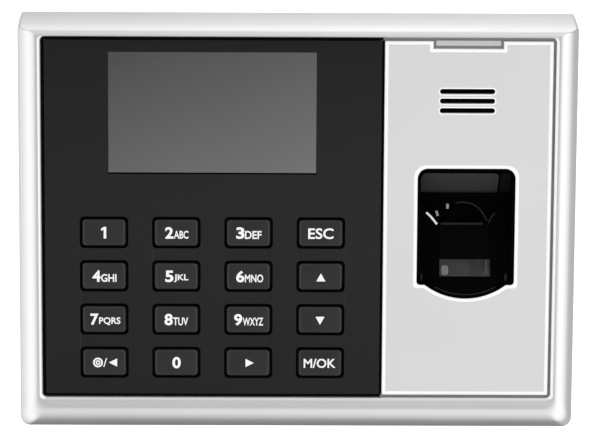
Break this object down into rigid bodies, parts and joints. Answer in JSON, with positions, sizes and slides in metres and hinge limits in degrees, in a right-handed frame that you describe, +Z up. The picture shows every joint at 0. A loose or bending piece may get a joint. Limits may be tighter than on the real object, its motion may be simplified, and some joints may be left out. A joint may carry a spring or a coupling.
{
  "type": "fingerprint scanner terminal",
  "caption": "Wall-mounted fingerprint terminal with a display, number keypad, fingerprint well, speaker slots, rear connector bay and a screw-on wall bracket.",
  "frame": {"origin": "centre of the wall bracket's four screw holes, on the bracket's back face, which lies on the wall", "axes": "+Z up the wall, +X to the right as seen from in front, +Y from the terminal into the wall, so the front faces -Y"},
  "size_m": [0.185, 0.03, 0.1377],
  "materials": {
    "silver_shell": "satin silver paint on moulded plastic",
    "silver_panel": "fine satin silver paint on moulded plastic",
    "black_panel": "satin black",
    "display_window": "smoked, polished",
    "plated_steel": "bright nickel or zinc plating",
    "display_glass": "polished",
    "backlight": "diffuse white",
    "film": "amber polyimide film",
    "circuit_board": "green solder mask",
    "black_plastic": "moulded black",
    "indicator_lens": "frosted, translucent",
    "led": "clear over phosphor",
    "speaker_paper": "doped paper",
    "magnet": "plated ferrite and steel",
    "wire": "flexible insulation",
    "gloss_black": "polished black",
    "optical_glass": "polished",
    "lens_black": "polished",
    "ribbon": "flat ribbon insulation",
    "chip": "moulded epoxy",
    "capacitor": "shrink sleeve over aluminium",
    "gold": "gold flash",
    "green_plastic": "moulded green",
    "relay_blue": "moulded blue",
    "white_plastic": "moulded white",
    "red_plastic": "moulded red",
    "rear_plastic": "fine textured black",
    "key_plastic": "satin black",
    "bracket_steel": "zinc plated sheet"
  },
  "bodies": {
    "housing": {"front_bezel": "silver_shell", "key_panel": "black_panel", "display_window": "display_window", "display_frame": "plated_steel", "display_glass": "display_glass", "display_backlight": "backlight", "display_ribbon": "film", "keypad_board": "circuit_board", "keypad_switches": "plated_steel", "keypad_connector": "black_plastic", "reader_panel": "silver_panel", "indicator_lens": "indicator_lens", "indicator_leds": "led", "speaker_frame": "plated_steel", "speaker_cone": "speaker_paper", "speaker_magnet": "magnet", "speaker_wires": "wire", "finger_guide": "gloss_black", "sensor_prism": "optical_glass", "sensor_housing": "black_plastic", "sensor_board": "circuit_board", "sensor_lens": "lens_black", "sensor_cable": "ribbon", "main_board": "circuit_board", "board_chips": "chip", "board_capacitors": "capacitor", "cell_holder": "black_plastic", "coin_cell": "plated_steel", "network_jack": "plated_steel", "usb_port": "plated_steel", "usb_tongue": "white_plastic", "power_jack": "black_plastic", "connector_contacts": "gold", "terminal_block": "green_plastic", "terminal_screws": "plated_steel", "relay": "relay_blue", "board_switches": "black_plastic", "rear_cover": "rear_plastic", "wall_bracket": "bracket_steel", "housing_screws": "plated_steel", "board_screws": "plated_steel", "security_screw": "plated_steel"},
    "key_1": {"key_1": "key_plastic"},
    "key_2": {"key_2": "key_plastic"},
    "key_3": {"key_3": "key_plastic"},
    "key_esc": {"key_esc": "key_plastic"},
    "key_4": {"key_4": "key_plastic"},
    "key_5": {"key_5": "key_plastic"},
    "key_6": {"key_6": "key_plastic"},
    "key_up": {"key_up": "key_plastic"},
    "key_7": {"key_7": "key_plastic"},
    "key_8": {"key_8": "key_plastic"},
    "key_9": {"key_9": "key_plastic"},
    "key_down": {"key_down": "key_plastic"},
    "key_left": {"key_left": "key_plastic"},
    "key_0": {"key_0": "key_plastic"},
    "key_right": {"key_right": "key_plastic"},
    "key_menu": {"key_menu": "key_plastic"},
    "tamper_plunger": {"tamper_plunger": "white_plastic"},
    "reset_button": {"reset_button": "red_plastic"}
  },
  "joints": [
    {"name": "key_1_press", "type": "slide", "parent": "housing", "child": "key_1", "axis": [0, 1, 0], "range_m": [0, 0.001], "stiffness_N_per_m": 900},
    {"name": "key_2_press", "type": "slide", "parent": "housing", "child": "key_2", "axis": [0, 1, 0], "range_m": [0, 0.001], "stiffness_N_per_m": 900},
    {"name": "key_3_press", "type": "slide", "parent": "housing", "child": "key_3", "axis": [0, 1, 0], "range_m": [0, 0.001], "stiffness_N_per_m": 900},
    {"name": "key_esc_press", "type": "slide", "parent": "housing", "child": "key_esc", "axis": [0, 1, 0], "range_m": [0, 0.001], "stiffness_N_per_m": 900},
    {"name": "key_4_press", "type": "slide", "parent": "housing", "child": "key_4", "axis": [0, 1, 0], "range_m": [0, 0.001], "stiffness_N_per_m": 900},
    {"name": "key_5_press", "type": "slide", "parent": "housing", "child": "key_5", "axis": [0, 1, 0], "range_m": [0, 0.001], "stiffness_N_per_m": 900},
    {"name": "key_6_press", "type": "slide", "parent": "housing", "child": "key_6", "axis": [0, 1, 0], "range_m": [0, 0.001], "stiffness_N_per_m": 900},
    {"name": "key_up_press", "type": "slide", "parent": "housing", "child": "key_up", "axis": [0, 1, 0], "range_m": [0, 0.001], "stiffness_N_per_m": 900},
    {"name": "key_7_press", "type": "slide", "parent": "housing", "child": "key_7", "axis": [0, 1, 0], "range_m": [0, 0.001], "stiffness_N_per_m": 900},
    {"name": "key_8_press", "type": "slide", "parent": "housing", "child": "key_8", "axis": [0, 1, 0], "range_m": [0, 0.001], "stiffness_N_per_m": 900},
    {"name": "key_9_press", "type": "slide", "parent": "housing", "child": "key_9", "axis": [0, 1, 0], "range_m": [0, 0.001], "stiffness_N_per_m": 900},
    {"name": "key_down_press", "type": "slide", "parent": "housing", "child": "key_down", "axis": [0, 1, 0], "range_m": [0, 0.001], "stiffness_N_per_m": 900},
    {"name": "key_left_press", "type": "slide", "parent": "housing", "child": "key_left", "axis": [0, 1, 0], "range_m": [0, 0.001], "stiffness_N_per_m": 900},
    {"name": "key_0_press", "type": "slide", "parent": "housing", "child": "key_0", "axis": [0, 1, 0], "range_m": [0, 0.001], "stiffness_N_per_m": 900},
    {"name": "key_right_press", "type": "slide", "parent": "housing", "child": "key_right", "axis": [0, 1, 0], "range_m": [0, 0.001], "stiffness_N_per_m": 900},
    {"name": "key_menu_press", "type": "slide", "parent": "housing", "child": "key_menu", "axis": [0, 1, 0], "range_m": [0, 0.001], "stiffness_N_per_m": 900},
    {"name": "tamper_plunger_press", "type": "slide", "parent": "housing", "child": "tamper_plunger", "axis": [0, -1, 0], "range_m": [0, 0.0015], "stiffness_N_per_m": 400},
    {"name": "reset_button_press", "type": "slide", "parent": "housing", "child": "reset_button", "axis": [0, 0, 1], "range_m": [0, 0.0005], "stiffness_N_per_m": 2000}
  ]
}
